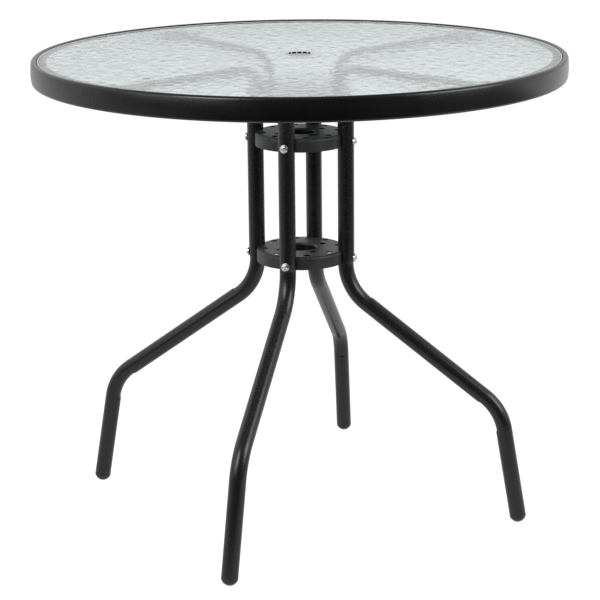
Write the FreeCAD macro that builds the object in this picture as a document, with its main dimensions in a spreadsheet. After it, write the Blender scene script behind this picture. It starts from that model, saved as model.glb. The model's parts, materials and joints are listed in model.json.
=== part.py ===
import FreeCAD, Part
import math
import os

import Sketcher

# Round umbrella table. Four thin arms carry a steel rim with a rippled glass top and hang on
# a hub plate; the hub plate and two more pressed plates tie four bent tube legs together
# round the umbrella pole.
# Millimetres, +Z up, origin on the floor under the middle of the glass.

DRIVING_SIZES = [
    # Rim, a hollow flat-oval tube rolled into a ring
    ("rim_radius", 400, "outside of the rim"),
    ("rim_top_height", 714, "crown of the rim above the floor"),
    ("rim_height", 34.5, "rim section, top to bottom"),
    ("rim_width", 10, "rim section, inside to outside"),
    ("rim_bulge", 0.8, "how far the outer face swells at its middle"),
    ("rim_wall", 1.2, "steel of the rim"),
    # Fits
    ("fit_gap", 0.3, "gap between faces that seat on each other"),
    ("hole_clearance", 0.25, "screw hole radius over screw radius"),
    # Glass, its gasket and the ledge that carries it
    ("glass_recess", 2.5, "glass top below the crown of the rim"),
    ("glass_thickness", 5, "tempered glass"),
    ("glass_edge_round", 1, "ground edge of the glass"),
    ("gasket_wall", 1.5, "upright lip between glass and rim"),
    ("gasket_base", 1.2, "flat lip between glass and ledge"),
    ("gasket_base_width", 13, "reach of the flat lip under the glass"),
    ("gasket_rise", 0.5, "upright lip above the glass top"),
    ("ledge_thickness", 1.5, "steel of the ledge ring and its band"),
    ("ledge_width", 16, "reach of the ledge under the glass"),
    ("ledge_depth", 22.5, "ledge ring and band, top to bottom"),
    # Umbrella way
    ("umbrella_bore_radius", 22.5, "clear way for the pole"),
    ("ring_wall", 1.2, "sleeve of the ring in the glass"),
    ("ring_flange_radius", 32.5, "flange that lies on the glass"),
    ("ring_flange_thickness", 1.3, "the same flange"),
    ("ring_reach", 2, "sleeve below the glass"),
    # Legs, each one bent tube from the hub plate to the floor
    ("tube_radius", 12.5, "outside of the leg tube"),
    ("tube_wall", 1.2, "steel of the leg tube"),
    ("tube_circle_radius", 71.5, "circle of the upright tubes' axes"),
    ("front_leg_azimuth", -106.8, "front upright, degrees from +X"),
    ("back_foot_play", 6, "extra turn of the back diagonal and foot as assembled"),
    ("front_foot_twist", -13, "front foot run against its diagonal, seen from above"),
    ("front_foot_extra_lean", 1, "front foot run leans this much more"),
    ("upright_end_drop", 4, "upper tube end below the top of the hub plate"),
    ("leg_corner_height", 356, "corner of upright and diagonal"),
    ("leg_slope", 54, "diagonal, degrees from upright"),
    ("leg_diagonal", 301, "diagonal from corner to corner"),
    ("leg_bend_radius", 78, "both leg bends"),
    ("foot_lean", 9.95, "foot run, degrees from upright"),
    # Arms, each one bent tube from the side of the hub plate to the rim
    ("arm_radius", 7.25, "outside of the arm tube"),
    ("arm_wall", 1.2, "steel of the arm tube"),
    ("arm_turn", -28.5, "arm against the upright beside it, seen from above"),
    ("left_arm_play", -11, "extra turn of the left arm as assembled"),
    ("arm_bend_radius", 50, "bend from the arm down to its post"),
    ("arm_end_gap", 1.7, "arm end to the ledge flange"),
    # Foot caps and arm pads
    ("cap_dome_height", 9.5, "dome under the tube end"),
    ("cap_collar", 2.5, "straight band over the dome"),
    ("cap_collar_round", 0.6, "soft edge that leaves a line at the tube"),
    ("cap_plug_length", 18, "plug inside the tube"),
    ("cap_plug_wall", 2.5, "wall of the hollow plug"),
    ("pad_radius", 6, "clear pad between arm and glass"),
    ("pad_thickness", 3.5, "the same pad"),
    ("pad_circle_radius", 300, "pads from the axis"),
    # Plates between the uprights; the hub plate is the top one
    ("plate_edge_inset", 3, "plate edge inside the circle of the uprights"),
    ("plate_depth", 20, "pressed plate, top to bottom"),
    ("plate_sheet", 2, "steel of the plate"),
    ("plate_edge_round", 4.5, "outer radius of the pressed edges"),
    ("plate_collar_depth", 14, "collar round the pole, down from the top"),
    ("hub_plate_drop", 64.5, "bottom of the hub plate below the arms' axes"),
    ("upper_plate_drop", 119.75, "bottom of the upper plate below the arms' axes"),
    ("plate_hole_radius", 5.25, "all punched holes"),
    ("outer_hole_inset", 11.5, "outer holes from the plate edge"),
    ("outer_hole_turn", 25, "outer holes to each side of an upright, degrees"),
    ("inner_hole_offset", 15, "inner holes outside the pole bore"),
    # Fasteners
    ("screw_drop", 12, "screws below the top of a plate"),
    ("screw_radius", 3, "all screws and bolts"),
    ("screw_tip", 1.5, "screw end past its nut"),
    ("screw_head_radius", 5.75, "pan head"),
    ("screw_head_height", 3.3, "pan head"),
    ("screw_head_band", 1.2, "straight side of the pan head"),
    ("recess_length", 6.4, "cross recess, tip to tip"),
    ("recess_width", 1.3, "cross recess slot"),
    ("recess_depth", 1.9, "cross recess"),
    ("washer_radius", 6.5, "all washers"),
    ("washer_thickness", 1, "all washers"),
    ("nut_flats", 10, "nuts and bolt heads across flats"),
    ("nut_height", 5, "nuts"),
    ("bolt_head_height", 4, "arm bolt heads"),
    # Brackets that hold the arms at the rim
    ("bracket_thickness", 3, "bracket plate"),
    ("bracket_reach", 43, "ears in from the back plate"),
    ("bracket_height", 19, "bracket, top to bottom"),
    ("bracket_corner", 5, "rounded inner corners of the ears"),
    ("arm_bolt_inset", 15, "bolt in from the arm end"),
]

# The legs in the order of their uprights, a quarter turn apart
LEG_NAMES = ["front", "right", "back", "left"]
QUARTER_TURN = 90
UP = FreeCAD.Vector(0, 0, 1)
ORIGIN = FreeCAD.Vector(0, 0, 0)
# How far a cutting tool runs past the faces that it cuts
OVERRUN = 5
# Places closer than this are the same place
SAME_PLACE = 1e-4

doc = FreeCAD.newDocument("umbrella_table")
sheet = doc.addObject("Spreadsheet::Sheet", "Sizes")


def fill_sheet():
    for row, (alias, value, meaning) in enumerate(DRIVING_SIZES, start=1):
        sheet.set(f"A{row}", meaning)
        sheet.set(f"B{row}", str(value))
        sheet.setAlias(f"B{row}", alias)
    doc.recompute()


def number(expression):
    """The value of an expression over the sheet's sizes."""
    return float(sheet.evalExpression(str(expression)))


def less(*terms):
    """The first term less all the others, as an expression."""
    return "(" + " - ".join(str(term) for term in terms) + ")"


def plus(*terms):
    """The sum of the terms, as an expression."""
    return "(" + " + ".join(str(term) for term in terms) + ")"


# Heights and radii that follow from the driving sizes
RIM_INNER = less("Sizes.rim_radius", "Sizes.rim_width")
GLASS_TOP = less("Sizes.rim_top_height", "Sizes.glass_recess")
GLASS_BOTTOM = less(GLASS_TOP, "Sizes.glass_thickness")
RING_SEAT = less(RIM_INNER, "Sizes.fit_gap")
GLASS_RADIUS = less(RING_SEAT, "Sizes.gasket_wall", "Sizes.fit_gap")
LEDGE_TOP = less(GLASS_BOTTOM, "Sizes.gasket_base")
LEDGE_UNDERSIDE = less(LEDGE_TOP, "Sizes.ledge_thickness")
LEDGE_INNER = less(RING_SEAT, "Sizes.ledge_width")
BAND_INNER = less(RING_SEAT, "Sizes.ledge_thickness")
SLEEVE_RADIUS = plus("Sizes.umbrella_bore_radius", "Sizes.ring_wall")
TUBE_BORE = less("Sizes.tube_radius", "Sizes.tube_wall")
TUBE_SEAT = plus("Sizes.tube_radius", "Sizes.fit_gap")
ARM_BORE = less("Sizes.arm_radius", "Sizes.arm_wall")
ARM_SEAT = plus("Sizes.arm_radius", "Sizes.fit_gap")
ARM_HEIGHT = less(GLASS_BOTTOM, "Sizes.pad_thickness", "Sizes.fit_gap", "Sizes.arm_radius")
ARM_END = less(LEDGE_INNER, "Sizes.arm_end_gap")
ARM_BOLT = less(ARM_END, "Sizes.arm_bolt_inset")
PLATE_RADIUS = less("Sizes.tube_circle_radius", "Sizes.plate_edge_inset")
LOWER_PLATE_BOTTOM = "(Sizes.leg_corner_height + Sizes.leg_bend_radius * tan(Sizes.leg_slope / 2))"
UPPER_PLATE_BOTTOM = less(ARM_HEIGHT, "Sizes.upper_plate_drop")
HUB_PLATE_BOTTOM = less(ARM_HEIGHT, "Sizes.hub_plate_drop")
PLATE_HEIGHTS = {"lower": LOWER_PLATE_BOTTOM, "upper": UPPER_PLATE_BOTTOM, "hub": HUB_PLATE_BOTTOM}
UPRIGHT_END = less(plus(HUB_PLATE_BOTTOM, "Sizes.plate_depth"), "Sizes.upright_end_drop")
POST_CIRCLE = plus(PLATE_RADIUS, ARM_SEAT)
SCREW_HOLE = plus("Sizes.screw_radius", "Sizes.hole_clearance")
CAP_SPHERE = "((Sizes.tube_radius ^ 2 + Sizes.cap_dome_height ^ 2) / (2 * Sizes.cap_dome_height))"
CAP_HEIGHT = plus("Sizes.cap_dome_height", "Sizes.cap_collar")

# Along an upright's screw, measured from the table's axis
SCREW_NUT_OUTER = less("Sizes.tube_circle_radius", TUBE_SEAT, "Sizes.plate_sheet", "Sizes.fit_gap")
SCREW_NUT_INNER = less(SCREW_NUT_OUTER, "Sizes.nut_height")
SCREW_WASHER_INNER = plus("Sizes.tube_circle_radius", "Sizes.tube_radius")
SCREW_HEAD_SEAT = plus(SCREW_WASHER_INNER, "Sizes.washer_thickness")
SCREW_END = less(SCREW_NUT_INNER, "Sizes.screw_tip")

# Along the screw of an arm's post, measured from the table's axis
FLANGE_INNER = less(PLATE_RADIUS, "Sizes.plate_sheet")
POST_NUT_OUTER = less(f"sqrt({FLANGE_INNER} ^ 2 - Sizes.nut_flats ^ 2 / 3)", "Sizes.fit_gap")
POST_NUT_INNER = less(POST_NUT_OUTER, "Sizes.nut_height")
POST_WASHER_INNER = plus(POST_CIRCLE, "Sizes.arm_radius")
POST_HEAD_SEAT = plus(POST_WASHER_INNER, "Sizes.washer_thickness")
POST_SCREW_END = less(POST_NUT_INNER, "Sizes.screw_tip")

# Across an arm, measured from the arm's axis
BRACKET_HALF_GAP = ARM_SEAT
BRACKET_HALF_WIDTH = plus(BRACKET_HALF_GAP, "Sizes.bracket_thickness")
BRACKET_SEAT = less(BAND_INNER, "Sizes.fit_gap")
BRACKET_BACK = f"sqrt({BRACKET_SEAT} ^ 2 - {BRACKET_HALF_WIDTH} ^ 2)"
BRACKET_TOP = less(LEDGE_UNDERSIDE, "Sizes.fit_gap")
BOLT_WASHER_END = plus(BRACKET_HALF_WIDTH, "Sizes.washer_thickness")
BOLT_NUT_END = plus(BOLT_WASHER_END, "Sizes.nut_height")
BOLT_END = plus(BOLT_NUT_END, "Sizes.screw_tip")


def sheet_vector(x, y):
    return FreeCAD.Vector(number(x), number(y), 0)


def add_arc(sketch, start, end, centre):
    """Adds the counter-clockwise arc from start to end."""
    to_start = start - centre
    to_end = end - centre
    first = math.atan2(to_start.y, to_start.x)
    last = math.atan2(to_end.y, to_end.x)
    if last <= first:
        last += 2 * math.pi
    circle = Part.Circle(centre, UP, to_start.Length)
    return sketch.addGeometry(Part.ArcOfCircle(circle, first, last), False)


def pin_point(sketch, edge, point, x, y):
    """Ties one point of an edge to expressions for its place; None leaves that direction free."""
    for kind, axis, expression in (("DistanceX", -2, x), ("DistanceY", -1, y)):
        if expression is None:
            continue
        if expression == "0":
            sketch.addConstraint(Sketcher.Constraint("PointOnObject", edge, point, axis))
            continue
        constraint = Sketcher.Constraint(kind, -1, 1, edge, point, number(expression))
        index = sketch.addConstraint(constraint)
        sketch.setExpression(f"Constraints[{index}]", expression)


def add_loop(sketch, corners, arcs):
    """Draws a closed counter-clockwise outline.

    corners holds the expressions of each corner's place. arcs names the edges that are arcs,
    by the number of the corner they start from, and gives the expressions of their centres.
    """
    points = [sheet_vector(x, y) for x, y in corners]
    first_edge = sketch.GeometryCount
    for index, start in enumerate(points):
        end = points[(index + 1) % len(points)]
        if index in arcs:
            add_arc(sketch, start, end, sheet_vector(*arcs[index]))
        else:
            sketch.addGeometry(Part.LineSegment(start, end), False)
    for index, (x, y) in enumerate(corners):
        edge = first_edge + index
        following = first_edge + (index + 1) % len(corners)
        sketch.addConstraint(Sketcher.Constraint("Coincident", edge, 2, following, 1))
        pin_point(sketch, edge, 1, x, y)
    for index, (centre_x, centre_y) in arcs.items():
        chord = points[(index + 1) % len(points)] - points[index]
        flat = abs(chord.x) > abs(chord.y)
        if flat:
            pin_point(sketch, first_edge + index, 3, None, centre_y)
        else:
            pin_point(sketch, first_edge + index, 3, centre_x, None)


def new_sketch(body, name, plane_role):
    sketch = body.newObject("Sketcher::SketchObject", name)
    plane = next(item for item in body.Origin.OriginFeatures if item.Role == plane_role)
    sketch.AttachmentSupport = (plane, [""])
    sketch.MapMode = "FlatFace"
    return sketch


def turned_body(name, loops):
    """A body turned about Z from outlines of (radius, height) corners."""
    body = doc.addObject("PartDesign::Body", name)
    sketch = new_sketch(body, name + "_outline", "XZ_Plane")
    for corners, arcs in loops:
        add_loop(sketch, corners, arcs)
    turned = body.newObject("PartDesign::Revolution", name + "_turned")
    turned.Profile = sketch
    turned.ReferenceAxis = (sketch, ["V_Axis"])
    turned.Angle = 360
    sketch.Visibility = False
    doc.recompute()
    return body


def round_circles(body, name, radius, circles):
    """Rounds the circular edges of a turned body that have these (radius, height) expressions."""
    turned = body.Tip
    wanted = [(number(edge_radius), number(height)) for edge_radius, height in circles]
    picked = []
    for index, edge in enumerate(turned.Shape.Edges, start=1):
        if not isinstance(edge.Curve, Part.Circle):
            continue
        place = (edge.Curve.Radius, edge.Curve.Center.z)
        if any(math.dist(place, spot) < SAME_PLACE for spot in wanted):
            picked.append(f"Edge{index}")
    fillet = body.newObject("PartDesign::Fillet", name)
    fillet.Base = (turned, picked)
    fillet.setExpression("Radius", radius)
    doc.recompute()


def rod(name, radius, length, start=("0", "0", "0"), along="Z"):
    """A cylinder from a start point along an axis."""
    turns = {"X": FreeCAD.Rotation(FreeCAD.Vector(0, 1, 0), QUARTER_TURN),
             "Y": FreeCAD.Rotation(FreeCAD.Vector(1, 0, 0), -QUARTER_TURN),
             "Z": FreeCAD.Rotation()}
    cylinder = doc.addObject("Part::Cylinder", name)
    cylinder.setExpression("Radius", radius)
    cylinder.setExpression("Height", length)
    cylinder.Placement = FreeCAD.Placement(ORIGIN, turns[along])
    for axis, expression in zip("xyz", start):
        cylinder.setExpression(f"Placement.Base.{axis}", expression)
    return cylinder


def block(name, size, start):
    """A box of a size from its lowest corner."""
    box = doc.addObject("Part::Box", name)
    for side, expression in zip(("Length", "Width", "Height"), size):
        box.setExpression(side, expression)
    for axis, expression in zip("xyz", start):
        box.setExpression(f"Placement.Base.{axis}", expression)
    return box


def fused(name, pieces):
    fusion = doc.addObject("Part::MultiFuse", name)
    fusion.Shapes = pieces
    doc.recompute()
    return fusion


def cut(name, base, tools):
    """Base less all the tools."""
    result = doc.addObject("Part::Cut", name)
    result.Base = base
    result.Tool = tools[0] if len(tools) == 1 else fused(name + "_tools", tools)
    doc.recompute()
    return result


def common(name, base, tool):
    result = doc.addObject("Part::Common", name)
    result.Base = base
    result.Tool = tool
    doc.recompute()
    return result


def turned_about_z(angle):
    return FreeCAD.Placement(ORIGIN, FreeCAD.Rotation(UP, angle))


def shifted(x, y, z):
    return FreeCAD.Placement(FreeCAD.Vector(x, y, z), FreeCAD.Rotation())


def polar(radius, azimuth, height):
    angle = math.radians(azimuth)
    return FreeCAD.Vector(radius * math.cos(angle), radius * math.sin(angle), height)


def leg_azimuth(leg):
    return number("Sizes.front_leg_azimuth") + QUARTER_TURN * LEG_NAMES.index(leg)


def arm_azimuth(leg):
    play = number("Sizes.left_arm_play") if leg == "left" else 0
    return leg_azimuth(leg) + number("Sizes.arm_turn") + play


def diagonal_azimuth(leg):
    play = number("Sizes.back_foot_play") if leg == "back" else 0
    return leg_azimuth(leg) + play


def foot_direction(leg):
    """The way up a foot run, which leans out from the upright."""
    lean = number("Sizes.foot_lean")
    azimuth = diagonal_azimuth(leg)
    if leg == "front":
        lean += number("Sizes.front_foot_extra_lean")
        azimuth += number("Sizes.front_foot_twist")
    return UP * math.cos(math.radians(lean)) - polar(math.sin(math.radians(lean)), azimuth, 0)


def group(name, piece, placements):
    """One node that holds a copy of a piece at each placement."""
    links = []
    for index, placement in enumerate(placements, start=1):
        link = doc.addObject("App::Link", f"{name}_{index}")
        link.LinkedObject = piece
        link.Placement = placement
        links.append(link)
    together = doc.addObject("Part::Compound", name)
    together.Links = links
    doc.recompute()
    return together


def rim_outline(inset):
    """The rim's section, drawn in by inset: flat inside, round ends, a slight outward swell."""
    end_radius = "((Sizes.rim_width - Sizes.rim_bulge) / 2)"
    half_rise = f"(Sizes.rim_height / 2 - {end_radius})"
    swell_radius = f"({end_radius} + ({half_rise} ^ 2 + Sizes.rim_bulge ^ 2) / (2 * Sizes.rim_bulge))"
    end_centre = plus(RIM_INNER, end_radius)
    top_centre = less("Sizes.rim_top_height", end_radius)
    bottom_centre = plus(less("Sizes.rim_top_height", "Sizes.rim_height"), end_radius)
    drawn_radius = less(end_radius, inset)
    # The swell meets each round end along the line through both their centres
    centre_distance = less(swell_radius, end_radius)
    tangent_out = f"({drawn_radius} * {less(centre_distance, 'Sizes.rim_bulge')} / {centre_distance})"
    tangent_rise = f"({drawn_radius} * {half_rise} / {centre_distance})"
    inside = less(end_centre, drawn_radius)
    outside = plus(end_centre, tangent_out)
    corners = [(inside, bottom_centre),
               (outside, less(bottom_centre, tangent_rise)),
               (outside, plus(top_centre, tangent_rise)),
               (inside, top_centre)]
    swell_centre = (less("Sizes.rim_radius", swell_radius), less(top_centre, half_rise))
    arcs = {0: (end_centre, bottom_centre), 1: swell_centre, 2: (end_centre, top_centre)}
    return corners, arcs


def table_rim():
    return turned_body("table_rim", [rim_outline("0"), rim_outline("Sizes.rim_wall")])


def glass_ledge_ring():
    """The flat ring that carries the glass."""
    corners = [(LEDGE_INNER, LEDGE_UNDERSIDE),
               (RING_SEAT, LEDGE_UNDERSIDE),
               (RING_SEAT, LEDGE_TOP),
               (LEDGE_INNER, LEDGE_TOP)]
    return turned_body("glass_ledge_ring", [(corners, {})])


def ledge_band():
    """The upright band under the ledge ring, against the inner face of the rim."""
    bottom = less(LEDGE_TOP, "Sizes.ledge_depth")
    corners = [(BAND_INNER, bottom),
               (RING_SEAT, bottom),
               (RING_SEAT, LEDGE_UNDERSIDE),
               (BAND_INNER, LEDGE_UNDERSIDE)]
    return turned_body("ledge_band", [(corners, {})])


def glass_gasket():
    lip_inner = less(RING_SEAT, "Sizes.gasket_wall")
    base_inner = less(RING_SEAT, "Sizes.gasket_base_width")
    lip_top = plus(GLASS_TOP, "Sizes.gasket_rise")
    corners = [(base_inner, LEDGE_TOP),
               (RING_SEAT, LEDGE_TOP),
               (RING_SEAT, lip_top),
               (lip_inner, lip_top),
               (lip_inner, GLASS_BOTTOM),
               (base_inner, GLASS_BOTTOM)]
    return turned_body("glass_gasket", [(corners, {})])


def glass_top():
    hole = plus(SLEEVE_RADIUS, "Sizes.fit_gap")
    corners = [(hole, GLASS_BOTTOM),
               (GLASS_RADIUS, GLASS_BOTTOM),
               (GLASS_RADIUS, GLASS_TOP),
               (hole, GLASS_TOP)]
    body = turned_body("glass_top", [(corners, {})])
    round_circles(body, "glass_edges", "Sizes.glass_edge_round", corners)
    return body


def umbrella_hole_ring():
    bottom = less(GLASS_BOTTOM, "Sizes.ring_reach")
    flange_top = plus(GLASS_TOP, "Sizes.ring_flange_thickness")
    flange_edge = less("Sizes.ring_flange_radius", "Sizes.ring_flange_thickness")
    corners = [("Sizes.umbrella_bore_radius", bottom),
               (SLEEVE_RADIUS, bottom),
               (SLEEVE_RADIUS, GLASS_TOP),
               ("Sizes.ring_flange_radius", GLASS_TOP),
               (flange_edge, flange_top),
               ("Sizes.umbrella_bore_radius", flange_top)]
    arcs = {3: (flange_edge, GLASS_TOP)}
    return turned_body("umbrella_hole_ring", [(corners, arcs)])


def leg_corner(leg):
    return polar(number("Sizes.tube_circle_radius"), leg_azimuth(leg), number("Sizes.leg_corner_height"))


def foot_frame(leg):
    """The foot's tip on its axis, the way up that axis, and the knee where the diagonal meets it."""
    slope = math.radians(number("Sizes.leg_slope"))
    diagonal = number("Sizes.leg_diagonal")
    across = polar(diagonal * math.sin(slope), diagonal_azimuth(leg), 0)
    knee = leg_corner(leg) + across - UP * (diagonal * math.cos(slope))
    up_axis = foot_direction(leg)
    # The dome is part of a sphere that rests on the floor
    sphere_radius = number(CAP_SPHERE)
    sphere_centre = knee - up_axis * ((knee.z - sphere_radius) / up_axis.z)
    tip = sphere_centre - up_axis * sphere_radius
    return tip, up_axis, knee


def leg_path(leg):
    """A leg's axis: upright, diagonal and foot run."""
    tip, up_axis, knee = foot_frame(leg)
    corners = [polar(number("Sizes.tube_circle_radius"), leg_azimuth(leg), number(UPRIGHT_END)),
               leg_corner(leg),
               knee,
               tip + up_axis * number(CAP_HEIGHT)]
    leg_bend = number("Sizes.leg_bend_radius")
    return bent_path(corners, [leg_bend, leg_bend])


def arm_path(leg):
    """An arm's axis: in from the rim and down beside the hub plate as a post."""
    azimuth = arm_azimuth(leg)
    corners = [polar(number(ARM_END), azimuth, number(ARM_HEIGHT)),
               polar(number(POST_CIRCLE), azimuth, number(ARM_HEIGHT)),
               polar(number(POST_CIRCLE), azimuth, number(HUB_PLATE_BOTTOM))]
    return bent_path(corners, [number("Sizes.arm_bend_radius")])


def bent_path(corners, bend_radii):
    """Straight runs through the corners, joined by tangent arcs."""
    edges = []
    start = corners[0]
    for before, corner, after, radius in zip(corners, corners[1:], corners[2:], bend_radii):
        back = (before - corner).normalize()
        ahead = (after - corner).normalize()
        half_angle = back.getAngle(ahead) / 2
        tangent = radius / math.tan(half_angle)
        inward = (back + ahead).normalize()
        middle = corner + inward * (radius / math.sin(half_angle) - radius)
        arc_start = corner + back * tangent
        arc_end = corner + ahead * tangent
        edges.append(Part.LineSegment(start, arc_start).toShape())
        edges.append(Part.Arc(arc_start, middle, arc_end).toShape())
        start = arc_end
    edges.append(Part.LineSegment(start, corners[-1]).toShape())
    return Part.Wire(edges)


def screw_height(plate_bottom):
    """Height of the screws in a plate's rim."""
    return number(plus(plate_bottom, less("Sizes.plate_depth", "Sizes.screw_drop")))


def radial_hole(circle_radius, azimuth, height, reach):
    """A screw's way through both walls of an upright tube, out from the table's axis."""
    start = polar(number(circle_radius) - number(reach), azimuth, height)
    return Part.makeCylinder(number(SCREW_HOLE), 2 * number(reach), start, polar(1, azimuth, 0))


def arm_bolt_hole(leg):
    across = polar(1, arm_azimuth(leg) + QUARTER_TURN, 0)
    reach = number(ARM_SEAT)
    start = polar(number(ARM_BOLT), arm_azimuth(leg), number(ARM_HEIGHT)) - across * reach
    return Part.makeCylinder(number(SCREW_HOLE), 2 * reach, start, across)


def bent_tube(name, path, outside, bore, holes):
    """A tube of two radii along a path, less its holes."""
    first_edge = path.Edges[0]
    start = first_edge.valueAt(first_edge.FirstParameter)
    direction = first_edge.tangentAt(first_edge.FirstParameter)
    circles = [Part.Wire(Part.makeCircle(number(radius), start, direction)) for radius in (outside, bore)]
    section = Part.makeFace(circles, "Part::FaceMakerBullseye")
    bent = path.makePipe(section)
    expected = section.Area * path.Length
    print(f"{name}: length {path.Length:.1f}, volume {bent.Volume:.0f}, section x length {expected:.0f}")
    tube = doc.addObject("Part::Feature", name)
    tube.Shape = bent.cut(holes)
    return tube


def leg_tube(leg):
    """One bent tube with a hole for each plate's screw."""
    holes = [radial_hole("Sizes.tube_circle_radius", leg_azimuth(leg), screw_height(bottom), TUBE_SEAT)
             for bottom in PLATE_HEIGHTS.values()]
    return bent_tube(f"leg_{leg}", leg_path(leg), "Sizes.tube_radius", TUBE_BORE, holes)


def arm_tube(leg):
    """One bent tube with a hole for its post's screw and one for its bolt at the rim."""
    holes = [radial_hole(POST_CIRCLE, arm_azimuth(leg), screw_height(HUB_PLATE_BOTTOM), ARM_SEAT),
             arm_bolt_hole(leg)]
    return bent_tube(f"arm_{leg}", arm_path(leg), "Sizes.arm_radius", ARM_BORE, holes)


def foot_cap(leg):
    """A domed plug pushed into the foot of a leg, turned to the foot's lean."""
    plug_radius = less(TUBE_BORE, "Sizes.fit_gap")
    plug_inner = less(plug_radius, "Sizes.cap_plug_wall")
    plug_top = plus(CAP_HEIGHT, "Sizes.cap_plug_length")
    round_inner = less("Sizes.tube_radius", "Sizes.cap_collar_round")
    round_bottom = less(CAP_HEIGHT, "Sizes.cap_collar_round")
    corners = [("0", "0"),
               ("Sizes.tube_radius", "Sizes.cap_dome_height"),
               ("Sizes.tube_radius", round_bottom),
               (round_inner, CAP_HEIGHT),
               (plug_radius, CAP_HEIGHT),
               (plug_radius, plug_top),
               (plug_inner, plug_top),
               (plug_inner, CAP_HEIGHT),
               ("0", CAP_HEIGHT)]
    arcs = {0: ("0", CAP_SPHERE), 2: (round_inner, round_bottom)}
    cap = turned_body(f"foot_cap_{leg}", [(corners, arcs)])
    tip, up_axis, _ = foot_frame(leg)
    cap.Placement = FreeCAD.Placement(tip, FreeCAD.Rotation(UP, up_axis))
    return cap


def arm_pads():
    """Clear pads that keep the glass off the arms."""
    pad = rod("arm_pad", "Sizes.pad_radius", "Sizes.pad_thickness")
    height = number(less(GLASS_BOTTOM, "Sizes.pad_thickness"))
    places = [turned_about_z(arm_azimuth(leg)) * shifted(number("Sizes.pad_circle_radius"), 0, height)
              for leg in LEG_NAMES]
    return group("arm_pads", pad, places)


def rim_bracket(leg):
    """A U of plate inside the ledge band whose ears hold the end of an arm."""
    name = f"rim_bracket_{leg}"
    overrun = str(OVERRUN)
    bottom = less(BRACKET_TOP, "Sizes.bracket_height")
    front = less(BRACKET_BACK, "Sizes.bracket_reach")
    width = f"(2 * {BRACKET_HALF_WIDTH})"
    gap = f"(2 * {BRACKET_HALF_GAP})"
    outer = block(name + "_block",
                  ("Sizes.bracket_reach", width, "Sizes.bracket_height"),
                  (front, less("0", BRACKET_HALF_WIDTH), bottom))
    slot = block(name + "_slot",
                 (plus(less("Sizes.bracket_reach", "Sizes.bracket_thickness"), overrun), gap,
                  plus("Sizes.bracket_height", overrun, overrun)),
                 (less(front, overrun), less("0", BRACKET_HALF_GAP), less(bottom, overrun)))
    hole = rod(name + "_hole", SCREW_HOLE, plus(width, overrun, overrun),
               (ARM_BOLT, less("0", BRACKET_HALF_WIDTH, overrun), ARM_HEIGHT), "Y")
    square = cut(name + "_square", outer, [slot, hole])
    bracket = doc.addObject("Part::Fillet", name)
    bracket.Base = square
    corner = number("Sizes.bracket_corner")
    bracket.Edges = [(index, corner, corner) for index in inner_ear_edges(square.Shape, number(front))]
    bracket.Placement = turned_about_z(arm_azimuth(leg))
    doc.recompute()
    return bracket


def inner_ear_edges(shape, front):
    """The edges across each ear at its free end, which get rounded corners."""
    picked = []
    for index, edge in enumerate(shape.Edges, start=1):
        at_front = all(abs(vertex.X - front) < SAME_PLACE for vertex in edge.Vertexes)
        level = abs(edge.Vertexes[0].Z - edge.Vertexes[-1].Z) < SAME_PLACE
        if at_front and level:
            picked.append(index)
    return picked


def plate_outline(filled):
    """The section of a pressed plate: rim down, flat top, collar down round the pole.

    filled gives the same outer form without its hollow underside.
    """
    sheet_steel = "Sizes.plate_sheet"
    outer_round = "Sizes.plate_edge_round"
    inner_round = less(outer_round, sheet_steel)
    depth = "Sizes.plate_depth"
    underside = less(depth, sheet_steel)
    round_centre = less(depth, outer_round)
    bore = "Sizes.umbrella_bore_radius"
    collar = plus(bore, sheet_steel)
    collar_end = less(depth, "Sizes.plate_collar_depth")
    rim_turn = less(PLATE_RADIUS, outer_round)
    bore_turn = plus(bore, outer_round)
    if filled:
        corners = [(bore_turn, "0"), (PLATE_RADIUS, "0"), (PLATE_RADIUS, round_centre),
                   (rim_turn, depth), (bore_turn, depth)]
        return corners, {2: (rim_turn, round_centre)}
    corners = [(FLANGE_INNER, "0"), (PLATE_RADIUS, "0"), (PLATE_RADIUS, round_centre),
               (rim_turn, depth), (bore_turn, depth), (bore, round_centre),
               (bore, collar_end), (collar, collar_end), (collar, underside), (FLANGE_INNER, underside)]
    return corners, {2: (rim_turn, round_centre), 4: (bore_turn, round_centre)}


def around_axis(name, pieces, angles):
    """Copies of the pieces turned about Z, fused into one cutting tool."""
    copies = []
    for piece in pieces:
        for angle in angles:
            copy = doc.addObject("App::Link", f"{piece.Name}_{angle:.0f}")
            copy.LinkedObject = piece
            copy.LinkTransform = True
            copy.Placement = turned_about_z(angle)
            copies.append(copy)
    return fused(name, copies)


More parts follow.
